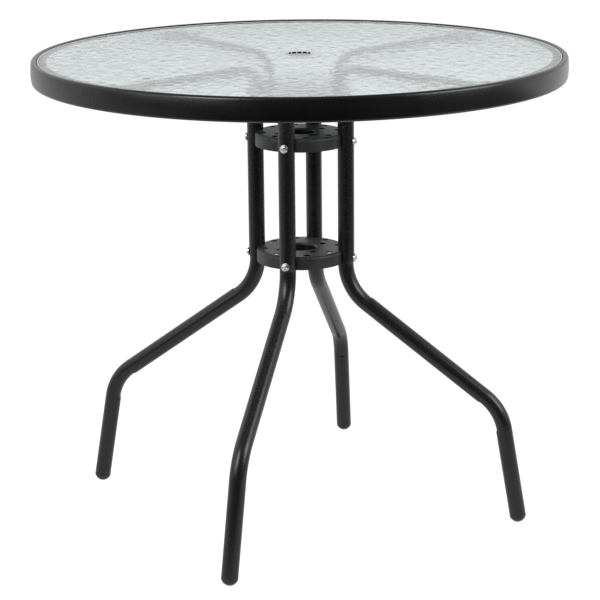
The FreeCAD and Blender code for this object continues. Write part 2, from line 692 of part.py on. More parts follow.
def plate(level):
    """A pressed steel plate that ties the four uprights, with a notch for each.

    The hub plate also has a screw hole for the post of each arm.
    """
    name = f"{level}_plate"
    overrun = str(OVERRUN)
    quarters = [QUARTER_TURN * index for index in range(len(LEG_NAMES))]
    tall = plus("Sizes.plate_depth", overrun, overrun)
    pressed = turned_body(name + "_pressed", [plate_outline(False)])
    full = turned_body(name + "_full", [plate_outline(True)])
    tube_place = ("Sizes.tube_circle_radius", "0", f"-{overrun}")
    wall = rod(name + "_notch_wall", plus(TUBE_SEAT, "Sizes.plate_sheet"), tall, tube_place)
    notch = rod(name + "_notch", TUBE_SEAT, tall, tube_place)
    walls = common(name + "_walls", full, around_axis(name + "_wall_rods", [wall], quarters))
    notched = fused(name + "_notched", [pressed, walls])

    outer_hole = rod(name + "_outer_hole", "Sizes.plate_hole_radius", tall,
                     (less(PLATE_RADIUS, "Sizes.outer_hole_inset"), "0", f"-{overrun}"))
    inner_hole = rod(name + "_inner_hole", "Sizes.plate_hole_radius", tall,
                     (plus("Sizes.umbrella_bore_radius", "Sizes.inner_hole_offset"), "0", f"-{overrun}"))
    screw_hole = rod(name + "_screw_hole", SCREW_HOLE, "Sizes.tube_circle_radius",
                     (SCREW_END, "0", less("Sizes.plate_depth", "Sizes.screw_drop")), "X")
    outer_turn = number("Sizes.outer_hole_turn")
    outer_turns = [quarter + side * outer_turn for quarter in quarters for side in (-1, 1)]
    inner_turns = [quarter + QUARTER_TURN / 2 for quarter in quarters]
    tools = [around_axis(name + "_notches", [notch], quarters),
             around_axis(name + "_outer_holes", [outer_hole], outer_turns),
             around_axis(name + "_inner_holes", [inner_hole], inner_turns),
             around_axis(name + "_screw_holes", [screw_hole], quarters)]
    if level == "hub":
        post_hole = rod(name + "_post_hole", SCREW_HOLE, "Sizes.tube_circle_radius",
                        (POST_SCREW_END, "0", less("Sizes.plate_depth", "Sizes.screw_drop")), "X")
        post_turns = [arm_azimuth(leg) - number("Sizes.front_leg_azimuth") for leg in LEG_NAMES]
        tools.append(around_axis(name + "_post_holes", [post_hole], post_turns))
    finished = cut(name, notched, tools)
    finished.Placement = (shifted(0, 0, number(PLATE_HEIGHTS[level]))
                          * turned_about_z(number("Sizes.front_leg_azimuth")))
    return finished


def pan_screw(name, shank):
    """A pan head screw with a cross recess, standing on its tip."""
    band_top = plus(shank, "Sizes.screw_head_band")
    head_top = plus(shank, "Sizes.screw_head_height")
    # The crown of the head is part of a sphere
    crown_rise = less("Sizes.screw_head_height", "Sizes.screw_head_band")
    crown_sphere = f"((Sizes.screw_head_radius ^ 2 + {crown_rise} ^ 2) / (2 * {crown_rise}))"
    corners = [("0", "0"), ("Sizes.screw_radius", "0"), ("Sizes.screw_radius", shank),
               ("Sizes.screw_head_radius", shank), ("Sizes.screw_head_radius", band_top), ("0", head_top)]
    turned = turned_body(name + "_turned", [(corners, {4: ("0", less(head_top, crown_sphere))})])
    length = "Sizes.recess_length"
    width = "Sizes.recess_width"
    height = "Sizes.screw_head_height"
    floor = less(head_top, "Sizes.recess_depth")
    from_length = less("0", f"{length} / 2")
    from_width = less("0", f"{width} / 2")
    slots = [block(name + "_slot_x", (length, width, height), (from_length, from_width, floor)),
             block(name + "_slot_y", (width, length, height), (from_width, from_length, floor))]
    return cut(name, turned, slots)


def plain_washer():
    corners = [(SCREW_HOLE, "0"), ("Sizes.washer_radius", "0"),
               ("Sizes.washer_radius", "Sizes.washer_thickness"), (SCREW_HOLE, "Sizes.washer_thickness")]
    return turned_body("plain_washer", [(corners, {})])


def hexagon(name, height, start="0"):
    """A hexagonal prism across Sizes.nut_flats."""
    prism = doc.addObject("Part::Prism", name)
    prism.Polygon = 6
    prism.setExpression("Circumradius", "Sizes.nut_flats / sqrt(3)")
    prism.setExpression("Height", height)
    prism.setExpression("Placement.Base.z", start)
    return prism


def hex_nut():
    blank = hexagon("nut_blank", "Sizes.nut_height")
    bore = rod("nut_bore", SCREW_HOLE, "Sizes.nut_height")
    return cut("hex_nut", blank, [bore])


def arm_bolt():
    """A hexagon bolt standing on its tip."""
    length = plus(BRACKET_HALF_WIDTH, BOLT_END)
    shank = rod("bolt_shank", "Sizes.screw_radius", length)
    head = hexagon("bolt_head", "Sizes.bolt_head_height", length)
    return fused("arm_bolt", [shank, head])


def radial_places(plate_bottom, distance, azimuth_of=leg_azimuth):
    """Where pieces sit on four screws of a plate, pointing outward."""
    outward = FreeCAD.Rotation(FreeCAD.Vector(0, 1, 0), QUARTER_TURN)
    base = FreeCAD.Vector(number(distance), 0, screw_height(plate_bottom))
    on_axis = FreeCAD.Placement(base, outward)
    return [turned_about_z(azimuth_of(leg)) * on_axis for leg in LEG_NAMES]


def arm_bolt_places(distance):
    """Where pieces sit on the four arm bolts, pointing from nut to head."""
    towards_head = FreeCAD.Rotation(FreeCAD.Vector(1, 0, 0), -QUARTER_TURN)
    base = FreeCAD.Vector(number(ARM_BOLT), number(distance), number(ARM_HEIGHT))
    on_axis = FreeCAD.Placement(base, towards_head)
    return [turned_about_z(arm_azimuth(leg)) * on_axis for leg in LEG_NAMES]


def plate_fasteners(washer, nut):
    screw = pan_screw("plate_screw", less(SCREW_HEAD_SEAT, SCREW_END))
    nodes = []
    for level, bottom in PLATE_HEIGHTS.items():
        nodes.append(group(f"{level}_plate_screws", screw, radial_places(bottom, SCREW_END)))
        nodes.append(group(f"{level}_plate_washers", washer, radial_places(bottom, SCREW_WASHER_INNER)))
        nodes.append(group(f"{level}_plate_nuts", nut, radial_places(bottom, SCREW_NUT_INNER)))
    return nodes


def post_fasteners(washer, nut):
    screw = pan_screw("post_screw", less(POST_HEAD_SEAT, POST_SCREW_END))
    places = {"screws": (screw, POST_SCREW_END), "washers": (washer, POST_WASHER_INNER),
              "nuts": (nut, POST_NUT_INNER)}
    return [group(f"arm_post_{kind}", piece, radial_places(HUB_PLATE_BOTTOM, distance, arm_azimuth))
            for kind, (piece, distance) in places.items()]


def arm_fasteners(washer, nut):
    return [group("arm_bolts", arm_bolt(), arm_bolt_places(less("0", BOLT_END))),
            group("arm_bolt_washers", washer, arm_bolt_places(less("0", BOLT_WASHER_END))),
            group("arm_bolt_nuts", nut, arm_bolt_places(less("0", BOLT_NUT_END)))]


def build():
    fill_sheet()
    nodes = [table_rim(), glass_ledge_ring(), ledge_band()]
    nodes += [glass_gasket(), glass_top(), umbrella_hole_ring()]
    for leg in LEG_NAMES:
        nodes += [leg_tube(leg), foot_cap(leg), arm_tube(leg), rim_bracket(leg)]
    nodes.append(arm_pads())
    nodes += [plate(level) for level in PLATE_HEIGHTS]
    washer = plain_washer()
    nut = hex_nut()
    nodes += plate_fasteners(washer, nut)
    nodes += post_fasteners(washer, nut)
    nodes += arm_fasteners(washer, nut)
    doc.recompute()
    return nodes


def check(nodes):
    for item in doc.Objects:
        if "Invalid" in item.State or "Error" in item.State:
            raise RuntimeError(f"{item.Name} did not compute: {item.State}")
    for node in nodes:
        if node.Shape.isNull() or not node.Shape.isValid() or not node.Shape.Solids:
            raise RuntimeError(f"{node.Label} has no valid solid")


def export(nodes):
    os.makedirs("parts", exist_ok=True)
    for node in nodes:
        node.Shape.exportStep(f"parts/{node.Label}.step")
        print(f"{node.Label}: {len(node.Shape.Solids)} solid(s), {node.Shape.Volume:.0f} mm3")


sub_parts = build()
check(sub_parts)
export(sub_parts)
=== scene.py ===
import json
import math

import bmesh
import bpy
from mathutils import Matrix, Vector, noise


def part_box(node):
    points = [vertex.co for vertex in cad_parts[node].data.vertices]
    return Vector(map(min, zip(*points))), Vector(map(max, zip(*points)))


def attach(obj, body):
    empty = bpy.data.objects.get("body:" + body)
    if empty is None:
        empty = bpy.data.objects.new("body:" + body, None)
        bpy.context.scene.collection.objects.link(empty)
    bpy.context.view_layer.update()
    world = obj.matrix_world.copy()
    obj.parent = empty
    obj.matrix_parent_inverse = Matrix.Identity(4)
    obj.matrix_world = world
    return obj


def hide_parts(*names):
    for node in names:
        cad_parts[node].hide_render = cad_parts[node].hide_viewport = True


# The looks of the umbrella table: a rippled glass top in a black rim on four thin arms, and
# four bent black tubes joined by punched plates. Metres, +Z up, the photographed front towards -Y.

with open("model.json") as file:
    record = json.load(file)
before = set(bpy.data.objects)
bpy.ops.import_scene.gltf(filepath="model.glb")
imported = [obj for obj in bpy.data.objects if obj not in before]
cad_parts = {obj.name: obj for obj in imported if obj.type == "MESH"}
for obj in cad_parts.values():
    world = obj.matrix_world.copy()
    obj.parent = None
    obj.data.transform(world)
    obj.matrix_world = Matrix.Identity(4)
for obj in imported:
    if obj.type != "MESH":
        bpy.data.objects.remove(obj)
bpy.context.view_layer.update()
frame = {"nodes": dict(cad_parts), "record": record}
NODES = frame["nodes"]

# Camera, fitted to the photograph
IMAGE_WIDTH = 600
FOCAL_PIXELS = 1922.97
SENSOR_WIDTH = 36
CAMERA_PLACE = (0, -2.8703, 1.1289)
CAMERA_PITCH = math.radians(15.547)
CAMERA_YAW = math.radians(-0.059)
CAMERA_ROLL = math.radians(-0.592)

# Lamps, all at one distance from a point on the table's axis
LAMP_REACH = 2.5
LAMP_TARGET = Vector((0, 0, 0.4))

# The floor reaches this far to every side
FLOOR_HALF_SIDE = 40

# Rim, a flat-oval tube rolled into a ring
RIM_RADIUS = 0.400
RIM_TOP = 0.714
RIM_HEIGHT = 0.0345
RIM_WIDTH = 0.010
RIM_BULGE = 0.0008

# Glass, its upper face covered in soft drops with finer ones between them
HOLE_RADIUS = 0.0240
GLASS_EDGE = 0.001
RIPPLE_CELL = 0.0115
RIPPLE_HEIGHT = 0.00016
FINE_RIPPLE_SHARE = 0.35
FINE_RIPPLE_SCALE = 2.1
FINE_RIPPLE_SHIFT = Vector((7, 3, 1))
GLASS_RINGS = 165
GLASS_SECTORS = 1080

# Umbrella ring, with painted shade at the top of its inner wall: a band broken by gaps on the far and near
# side
UMBRELLA_BORE = 0.0225
SLEEVE_GAP = 0.0003
RING_SECTORS = 360
RING_WALL_REACH = 0.0229
RING_SHADE_HEIGHT = 0.0028
RING_SHADE_REACH = 0.0157
RING_SHADE_GAPS = 17
RING_SHADE_GAP_START = math.radians(100.5)
# The gaps in the painted shade lie where a cosine wave round the ring is at least this high
RING_SHADE_GAP_EDGE = 0.8

# Legs, each one bent tube that ends in the hub plate
LEG_NAMES = ("front", "right", "back", "left")
QUARTER_TURN = 90
TUBE_RADIUS = 0.0125
TUBE_CIRCLE = 0.0715
FRONT_AZIMUTH = -106.8
BACK_FOOT_PLAY = 6
FRONT_FOOT_TWIST = -13
FRONT_FOOT_EXTRA_LEAN = 1
UPRIGHT_END = 0.64695
LEG_CORNER_HEIGHT = 0.356
LEG_SLOPE = math.radians(54)
LEG_DIAGONAL = 0.301
LEG_BEND = 0.078
FOOT_LEAN = 9.95
# The bending tool draws in the inner side of each bend, with a step at both its ends
BEND_FLAT = 0.0012
BEND_STEP = 0.003
BEND_STEP_MARKS = (0.25, 0.5, 0.75, 1.0)
# Faces of a tube: how many round it, how long along its bends, in degrees, and along its straight runs
TUBE_SIDES = 64
BEND_SPACING = 1.5
BEND_SPANS_LEAST = 12
RUN_SPACING = 0.02

# Arms, thinner tubes that bend down as posts into the hub plate
ARM_RADIUS = 0.00725
ARM_TURN = -28.5
LEFT_ARM_PLAY = -11
ARM_HEIGHT = 0.69545
ARM_END = 0.3720
ARM_BEND = 0.050
ARM_FLAT = 0.0006
POST_CIRCLE = 0.07605
POST_END = 0.63095

# Foot caps, a dome with a short straight band over it, whose outline stops just short of its axis
CAP_DOME = 0.0095
CAP_SPHERE = (TUBE_RADIUS ** 2 + CAP_DOME ** 2) / (2 * CAP_DOME)
CAP_COLLAR = 0.0025
CAP_ROUND = 0.0006
CAP_POLE_ANGLE = -89.9
CAP_PINHOLE = 0.0001
CAP_SECTORS = 96

# The punched holes of the plates, whose walls carry painted shade, all lie inside this radius
PLATE_HOLES_REACH = 0.056
# A face of a plate is a wall where its normal points up or down by less than this
WALL_NORMAL_LIMIT = 0.4

# Faces round the rim, and the least angle of an edge that stays sharp
ROUND_SECTORS = 720
SHARP_ANGLE = math.radians(35)

# Most noise lies in this range
NOISE_RANGE = (0.3, 0.7)
WHOLE_RANGE = (0, 1)

# The darkest and lightest tone of the black coats, a little blue, and of the plastic; the rim's copy of the
# coat is darker than the tubes', which paints shade onto the rim
RIM_SHADED_BLACKS = (0.0025, 0.0055)
TUBE_BLACKS = (0.0065, 0.011)
COAT_BLUE = 1.06
PLASTIC_BLACKS = (0.012, 0.02)
WHITE = (1, 1, 1, 1)


def add_node(tree, kind, inputs=None, **settings):
    """A shader node with its settings and its inputs, each a value or another node's output."""
    node = tree.nodes.new("ShaderNode" + kind)
    for name, value in settings.items():
        setattr(node, name, value)
    for name, value in (inputs or {}).items():
        socket = node.inputs[name]
        if isinstance(value, bpy.types.NodeSocket):
            tree.links.new(value, socket)
        else:
            socket.default_value = value
    return node


def new_material(name):
    """A material with an empty tree, its output node and the object's own coordinates."""
    material = bpy.data.materials.new(name)
    material.use_nodes = True
    tree = material.node_tree
    tree.nodes.clear()
    output = add_node(tree, "OutputMaterial")
    place = add_node(tree, "TexCoord").outputs["Object"]
    return material, tree, output, place


def show(tree, output, shader):
    """Makes a shader the surface of its material or the light of its world."""
    tree.links.new(shader, output.inputs["Surface"])


def principled(tree, inputs):
    return add_node(tree, "BsdfPrincipled", inputs).outputs["BSDF"]


def see_through(tree, colour):
    return add_node(tree, "BsdfTransparent", {"Color": (*colour, 1)}).outputs["BSDF"]


def emission(tree, strength):
    return add_node(tree, "Emission", {"Color": WHITE, "Strength": strength}).outputs["Emission"]


def mix_shaders(tree, factor, first, second):
    return add_node(tree, "MixShader", {0: factor, 1: first, 2: second}).outputs["Shader"]


def axes_of(tree, vector):
    return add_node(tree, "SeparateXYZ", {"Vector": vector}).outputs


def noise_value(tree, place, size, detail=2.0, roughness=0.5):
    """Noise whose features are about one size across, in metres."""
    inputs = {"Vector": place, "Scale": 1 / size, "Detail": detail, "Roughness": roughness}
    return add_node(tree, "TexNoise", inputs).outputs["Fac"]


def spread(tree, value, source, result, smooth=False):
    """Moves a value from one range to another and holds it there; smooth eases both ends."""
    inputs = {"Value": value, "From Min": source[0], "From Max": source[1],
              "To Min": result[0], "To Max": result[1]}
    settings = {"interpolation_type": "SMOOTHSTEP"} if smooth else {}
    return add_node(tree, "MapRange", inputs, **settings).outputs["Result"]


def arithmetic(tree, operation, first, second=0):
    return add_node(tree, "Math", {0: first, 1: second}, operation=operation).outputs["Value"]


def product(tree, first, *others):
    for other in others:
        first = arithmetic(tree, "MULTIPLY", first, other)
    return first


def between(tree, factor, first, second):
    """A number that goes from the first to the second as the factor goes from 0 to 1."""
    return add_node(tree, "Mix", {"Factor": factor, "A": first, "B": second}).outputs["Result"]


def colour_between(tree, factor, first, second):
    ramp = add_node(tree, "ValToRGB", {"Fac": factor})
    ramp.color_ramp.elements[0].color = (*first, 1)
    ramp.color_ramp.elements[1].color = (*second, 1)
    return ramp.outputs["Color"]


def bump(tree, height, distance, strength=1.0, normal=None):
    inputs = {"Height": height, "Distance": distance, "Strength": strength}
    if normal is not None:
        inputs["Normal"] = normal
    return add_node(tree, "Bump", inputs).outputs["Normal"]


def axis_distance(tree, axes):
    """How far a place lies from the table's upright axis."""
    flat_place = add_node(tree, "CombineXYZ", {"X": axes["X"], "Y": axes["Y"]}).outputs["Vector"]
    return add_node(tree, "VectorMath", {0: flat_place}, operation="LENGTH").outputs["Value"]


def frame_paint(name, blacks):
    """Satin black powder coat: a fine orange peel, slow changes of tone and a fine grain in its gloss."""
    material, tree, output, place = new_material(name)
    cloud = noise_value(tree, place, size=0.06, detail=3.0)
    grain = noise_value(tree, place, size=0.0012)
    peel = noise_value(tree, place, size=0.0035)
    low, high = blacks
    tone = spread(tree, cloud, NOISE_RANGE, WHOLE_RANGE)
    colour = colour_between(tree, tone, (low, low, low * COAT_BLUE), (high, high, high * COAT_BLUE))
    shine = spread(tree, grain, NOISE_RANGE, (0.22, 0.32))
    peel_normal = bump(tree, peel, distance=0.00004, strength=0.25)
    normal = bump(tree, grain, distance=0.00002, strength=0.2, normal=peel_normal)
    show(tree, output, principled(tree, {"Base Color": colour, "Roughness": shine, "Normal": normal}))
    return material


def painted_hole_shade(tree, place):
    """Where painted shade goes: one on the upright walls of the punched holes and of the middle bore, zero
    on the outer flange.
    """
    radius = axis_distance(tree, axes_of(tree, place))
    facing = add_node(tree, "NewGeometry").outputs["True Normal"]
    upward = arithmetic(tree, "ABSOLUTE", axes_of(tree, facing)["Z"])
    on_wall = arithmetic(tree, "LESS_THAN", upward, WALL_NORMAL_LIMIT)
    return product(tree, on_wall, arithmetic(tree, "LESS_THAN", radius, PLATE_HOLES_REACH))


def plate_paint():
    """The same coat on the pressed plates: greyer, dry and speckled, with painted shade in the holes, near
    black and less glossy there.
    """
    material, tree, output, place = new_material("plate_paint")
    speckle = noise_value(tree, place, size=0.0014, detail=3.0, roughness=0.7)
    cloud = noise_value(tree, place, size=0.03, detail=3.0)
    tone = spread(tree, product(tree, speckle, cloud), (0.14, 0.42), (0.15, 1))
    # Painted shade: the walls of the holes and of the bore turn near black and their gloss drops, for the
    # shade inside them
    hole_shade = painted_hole_shade(tree, place)
    unshaded = between(tree, hole_shade, 1.0, 0.0)
    colour = colour_between(tree, product(tree, tone, unshaded), (0.003, 0.003, 0.003), (0.05, 0.05, 0.051))
    shine = spread(tree, speckle, NOISE_RANGE, (0.36, 0.55))
    level = between(tree, hole_shade, 0.5, 0.15)
    normal = bump(tree, speckle, distance=0.00008, strength=0.6)
    inputs = {"Base Color": colour, "Roughness": shine, "Specular IOR Level": level, "Normal": normal}
    show(tree, output, principled(tree, inputs))
    return material


def zinc_steel():
    """Bright zinc plate with faint clouds and fine scratches."""
    material, tree, output, place = new_material("zinc_steel")
    cloud = noise_value(tree, place, size=0.004, detail=3.0)
    scratch = noise_value(tree, place, size=0.0004)
    tone = spread(tree, cloud, NOISE_RANGE, WHOLE_RANGE)
    colour = colour_between(tree, tone, (0.62, 0.63, 0.64), (0.82, 0.82, 0.81))
    shine = spread(tree, cloud, NOISE_RANGE, (0.2, 0.34))
    normal = bump(tree, scratch, distance=0.00001, strength=0.4)
    inputs = {"Base Color": colour, "Metallic": 1.0, "Roughness": shine, "Normal": normal}
    show(tree, output, principled(tree, inputs))
    return material


def galvanised_steel():
    """Dull zinc coat of the ledge ring and its band, with a soft spangle."""
    spangle_size = 0.008
    spangle_range = (0.2, 0.8)
    material, tree, output, place = new_material("galvanised_steel")
    spangle = add_node(tree, "TexVoronoi", {"Vector": place, "Scale": 1 / spangle_size}).outputs["Color"]
    grey = add_node(tree, "RGBToBW", {"Color": spangle}).outputs["Val"]
    tone = spread(tree, grey, spangle_range, WHOLE_RANGE)
    colour = colour_between(tree, tone, (0.84, 0.86, 0.87), (0.95, 0.97, 0.98))
    shine = spread(tree, grey, spangle_range, (0.45, 0.6))
    show(tree, output, principled(tree, {"Base Color": colour, "Metallic": 0.6, "Roughness": shine}))
    return material


def rippled_glass():
    """Tempered glass, faintly green, that lets the lamps through to what is under it."""
    material, tree, output, place = new_material("rippled_glass")
    fine = noise_value(tree, place, size=0.004)
    cloud = noise_value(tree, place, size=0.2, detail=1.0)
    tint = colour_between(tree, cloud, (0.78, 0.89, 0.9), (0.83, 0.93, 0.94))
    inputs = {"Base Color": tint, "Roughness": 0.04, "IOR": 1.5, "Transmission Weight": 1.0,
              "Specular Tint": (0.94, 1, 1, 1), "Normal": bump(tree, fine, distance=0.00002, strength=0.3)}
    lamp_ray = add_node(tree, "LightPath").outputs["Is Shadow Ray"]
    clear = see_through(tree, (0.9, 0.93, 0.92))
    show(tree, output, mix_shaders(tree, lamp_ray, principled(tree, inputs), clear))
    return material


def clear_plastic():
    """Moulded clear plastic of the pads under the glass, a little cloudy."""
    material, tree, output, place = new_material("clear_plastic")
    cloud = noise_value(tree, place, size=0.006)
    tint = colour_between(tree, cloud, (0.8, 0.83, 0.83), (0.9, 0.92, 0.92))
    shine = spread(tree, cloud, NOISE_RANGE, (0.12, 0.25))
    inputs = {"Base Color": tint, "Roughness": shine, "IOR": 1.46, "Transmission Weight": 0.8}
    show(tree, output, principled(tree, inputs))
    return material


def painted_bore_shade(tree, place, top):
    """Where painted shade goes: one on the band at the top of the umbrella ring's inner wall, zero in its
    gaps and everywhere else.
    """
    axes = axes_of(tree, place)
    on_wall = arithmetic(tree, "LESS_THAN", axis_distance(tree, axes), RING_WALL_REACH)
    near_top = arithmetic(tree, "GREATER_THAN", axes["Z"], top - RING_SHADE_HEIGHT)
    around = arithmetic(tree, "SUBTRACT", arithmetic(tree, "ARCTAN2", axes["Y"], axes["X"]), RING_SHADE_GAP_START)
    wave = arithmetic(tree, "COSINE", product(tree, around, RING_SHADE_GAPS))
    between_shade_gaps = arithmetic(tree, "LESS_THAN", wave, RING_SHADE_GAP_EDGE)
    depth = arithmetic(tree, "ABSOLUTE", axes["Y"])
    at_front_or_back = arithmetic(tree, "GREATER_THAN", depth, RING_SHADE_REACH)
    return product(tree, on_wall, near_top, at_front_or_back, between_shade_gaps)


def ring_plastic(top):
    """Milky plastic of the umbrella ring, a little see-through, with a band of painted shade, broken by
    gaps, inside it.
    """
    see_through_share = 0.3
    material, tree, output, place = new_material("ring_plastic")
    cloud = noise_value(tree, place, size=0.005)
    milk = colour_between(tree, cloud, (0.86, 0.9, 0.9), (0.94, 0.97, 0.97))
    dark = colour_between(tree, cloud, (0.006, 0.006, 0.006), (0.012, 0.012, 0.012))
    shine = spread(tree, cloud, NOISE_RANGE, (0.3, 0.45))
    milky = principled(tree, {"Base Color": milk, "Roughness": shine})
    body = mix_shaders(tree, see_through_share, milky, see_through(tree, (0.94, 0.96, 0.96)))
    shade = principled(tree, {"Base Color": dark, "Roughness": 0.2})
    # Painted shade: the band at the top of the bore is near black, standing in for the shade seen in it
    show(tree, output, mix_shaders(tree, painted_bore_shade(tree, place, top), body, shade))
    return material


def pale_gasket():
    """Milky flexible strip, a little uneven in tone."""
    material, tree, output, place = new_material("gasket_strip")
    cloud = noise_value(tree, place, size=0.01)
    tone = spread(tree, cloud, NOISE_RANGE, WHOLE_RANGE)
    colour = colour_between(tree, tone, (0.66, 0.68, 0.68), (0.78, 0.8, 0.8))
    shine = spread(tree, cloud, NOISE_RANGE, (0.4, 0.55))
    show(tree, output, principled(tree, {"Base Color": colour, "Roughness": shine}))
    return material


def black_plastic():
    """Black plastic of the foot caps with a fine moulded grain."""
    material, tree, output, place = new_material("black_plastic")
    grain = noise_value(tree, place, size=0.0006)
    low, high = PLASTIC_BLACKS
    tone = spread(tree, grain, NOISE_RANGE, WHOLE_RANGE)
    colour = colour_between(tree, tone, (low, low, low), (high, high, high))
    shine = spread(tree, grain, NOISE_RANGE, (0.34, 0.46))
    normal = bump(tree, grain, distance=0.00005, strength=0.4)
    show(tree, output, principled(tree, {"Base Color": colour, "Roughness": shine, "Normal": normal}))
    return material


def finished_object(name, mesh, material):
    """Turns a bmesh into a smooth shaded object whose corners stay sharp."""
    bmesh.ops.recalc_face_normals(mesh, faces=mesh.faces)
    data = bpy.data.meshes.new(name)
    mesh.to_mesh(data)
    mesh.free()
    data.materials.append(material)
    data.shade_smooth()
    data.set_sharp_from_angle(angle=SHARP_ANGLE)
    piece = bpy.data.objects.new(name, data)
    bpy.context.collection.objects.link(piece)
    return piece


def stand_for(piece, node_name):
    """Puts a remodelled piece in place of its node."""
    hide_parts(node_name)
    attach(piece, "root")


def join_rings(mesh, rings, closed):
    """Faces between neighbouring rings of as many corners; closed joins the last to the first."""
    following_rings = rings[1:] + rings[:1] if closed else rings[1:]
    for ring, following in zip(rings, following_rings):
        for corner in range(len(ring)):
            after = (corner + 1) % len(ring)
            mesh.faces.new((ring[corner], ring[after], following[after], following[corner]))


def lathe(name, profile, material, sectors=ROUND_SECTORS, rise=None):
    """Turns a closed outline of (radius, height) points about Z; rise may lift a point."""
    mesh = bmesh.new()
    rings = []
    for radius, height in profile:
        ring = []
        for sector in range(sectors):
            angle = 2 * math.pi * sector / sectors
            x = radius * math.cos(angle)
            y = radius * math.sin(angle)
            lift = rise(x, y, height) if rise else 0
            ring.append(mesh.verts.new((x, y, height + lift)))
        rings.append(ring)
    join_rings(mesh, rings, closed=True)
    return finished_object(name, mesh, material)


def arc_points(centre_x, centre_y, radius, first, last, steps):
    """Points along an arc, angles in degrees."""
    points = []
    for step in range(steps + 1):
        angle = math.radians(first + (last - first) * step / steps)
        points.append((centre_x + radius * math.cos(angle), centre_y + radius * math.sin(angle)))
    return points


def rim_profile():
    """The rim's outline: flat inside, round ends and a slight outward swell."""
    end = (RIM_WIDTH - RIM_BULGE) / 2
    half_rise = RIM_HEIGHT / 2 - end
    swell = end + (half_rise ** 2 + RIM_BULGE ** 2) / (2 * RIM_BULGE)
    middle = RIM_TOP - RIM_HEIGHT / 2
    end_centre = RIM_RADIUS - RIM_WIDTH + end
    tilt = math.degrees(math.asin(half_rise / (swell - end)))
    steps = 20
    profile = arc_points(end_centre, middle - half_rise, end, -180, -tilt, steps)
    profile += arc_points(RIM_RADIUS - swell, middle, swell, -tilt, tilt, steps)[1:-1]
    profile += arc_points(end_centre, middle + half_rise, end, tilt, 180, steps)
    return profile


def table_rim(material):
    rim = lathe("rim_band", rim_profile(), material)
    stand_for(rim, "table_rim")


def ripple(x, y):
    """Height of the glass ripple at a place."""
    spot = Vector((x / RIPPLE_CELL, y / RIPPLE_CELL, 0))
    fine = noise.noise(spot * FINE_RIPPLE_SCALE + FINE_RIPPLE_SHIFT)
    return RIPPLE_HEIGHT * (noise.noise(spot) + FINE_RIPPLE_SHARE * fine)


def glass_top(material):
    """The glass as a fine disc whose upper face is rippled."""
    low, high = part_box("glass_top")
    bottom = low[2]
    top = high[2]
    radius = high[0]
    profile = [(HOLE_RADIUS, bottom + GLASS_EDGE), (HOLE_RADIUS + GLASS_EDGE, bottom)]
    profile += [(radius - GLASS_EDGE, bottom), (radius, bottom + GLASS_EDGE), (radius, top - GLASS_EDGE)]
    start = radius - GLASS_EDGE
    end = HOLE_RADIUS + GLASS_EDGE
    for index in range(GLASS_RINGS + 1):
        profile.append((start + (end - start) * index / GLASS_RINGS, top))
    profile.append((HOLE_RADIUS, top - GLASS_EDGE))

    def rise(x, y, height):
        return ripple(x, y) if height == top else 0

    glass = lathe("rippled_glass_top", profile, material, GLASS_SECTORS, rise)
    stand_for(glass, "glass_top")


def umbrella_ring():
    """The ring in the glass: a sleeve with a round-edged flange lying on the glass."""
    low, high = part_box("umbrella_hole_ring")
    glass_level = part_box("glass_top")[1][2]
    top = high[2]
    flange = high[0]
    lip = top - glass_level
    lip_steps = 8
    sleeve = HOLE_RADIUS - SLEEVE_GAP
    profile = [(UMBRELLA_BORE, low[2]), (sleeve, low[2]), (sleeve, glass_level), (flange, glass_level)]
    profile += arc_points(flange - lip, glass_level, lip, 0, 90, lip_steps)[1:]
    profile += [(UMBRELLA_BORE, top)]
    ring = lathe("umbrella_ring_painted_shade", profile, ring_plastic(top), RING_SECTORS)
    stand_for(ring, "umbrella_hole_ring")


def polar(radius, azimuth, height):
    angle = math.radians(azimuth)
    return Vector((radius * math.cos(angle), radius * math.sin(angle), height))


def leg_azimuth(leg):
    """The way a leg stands from the table's axis, in degrees from +X."""
    return FRONT_AZIMUTH + QUARTER_TURN * LEG_NAMES.index(leg)


def foot_frame(leg):
    """The foot's tip on its axis, the way up that axis, and the knee where the diagonal meets it."""
    azimuth = leg_azimuth(leg)
    play = BACK_FOOT_PLAY if leg == "back" else 0
    twist = FRONT_FOOT_TWIST if leg == "front" else 0
    lean = math.radians(FOOT_LEAN + (FRONT_FOOT_EXTRA_LEAN if leg == "front" else 0))
    corner = polar(TUBE_CIRCLE, azimuth, LEG_CORNER_HEIGHT)
    across = polar(LEG_DIAGONAL * math.sin(LEG_SLOPE), azimuth + play, 0)
    knee = corner + across - Vector((0, 0, LEG_DIAGONAL * math.cos(LEG_SLOPE)))
    up_axis = Vector((0, 0, math.cos(lean))) - polar(math.sin(lean), azimuth + play + twist, 0)
    centre = knee - up_axis * ((knee.z - CAP_SPHERE) / up_axis.z)
    return centre - up_axis * CAP_SPHERE, up_axis, knee


def leg_corners(leg):
    """The corners of a leg's axis: top of the upright, corner, knee, foot."""
    azimuth = leg_azimuth(leg)
    tip, up_axis, knee = foot_frame(leg)
    return [polar(TUBE_CIRCLE, azimuth, UPRIGHT_END),
            polar(TUBE_CIRCLE, azimuth, LEG_CORNER_HEIGHT),
            knee,
            tip + up_axis * (CAP_DOME + CAP_COLLAR)]


def arm_corners(leg):
    """The corners of an arm's axis: its end at the rim, the bend, the end of its post."""
    azimuth = leg_azimuth(leg) + ARM_TURN + (LEFT_ARM_PLAY if leg == "left" else 0)
    return [polar(ARM_END, azimuth, ARM_HEIGHT),
            polar(POST_CIRCLE, azimuth, ARM_HEIGHT),
            polar(POST_CIRCLE, azimuth, POST_END)]


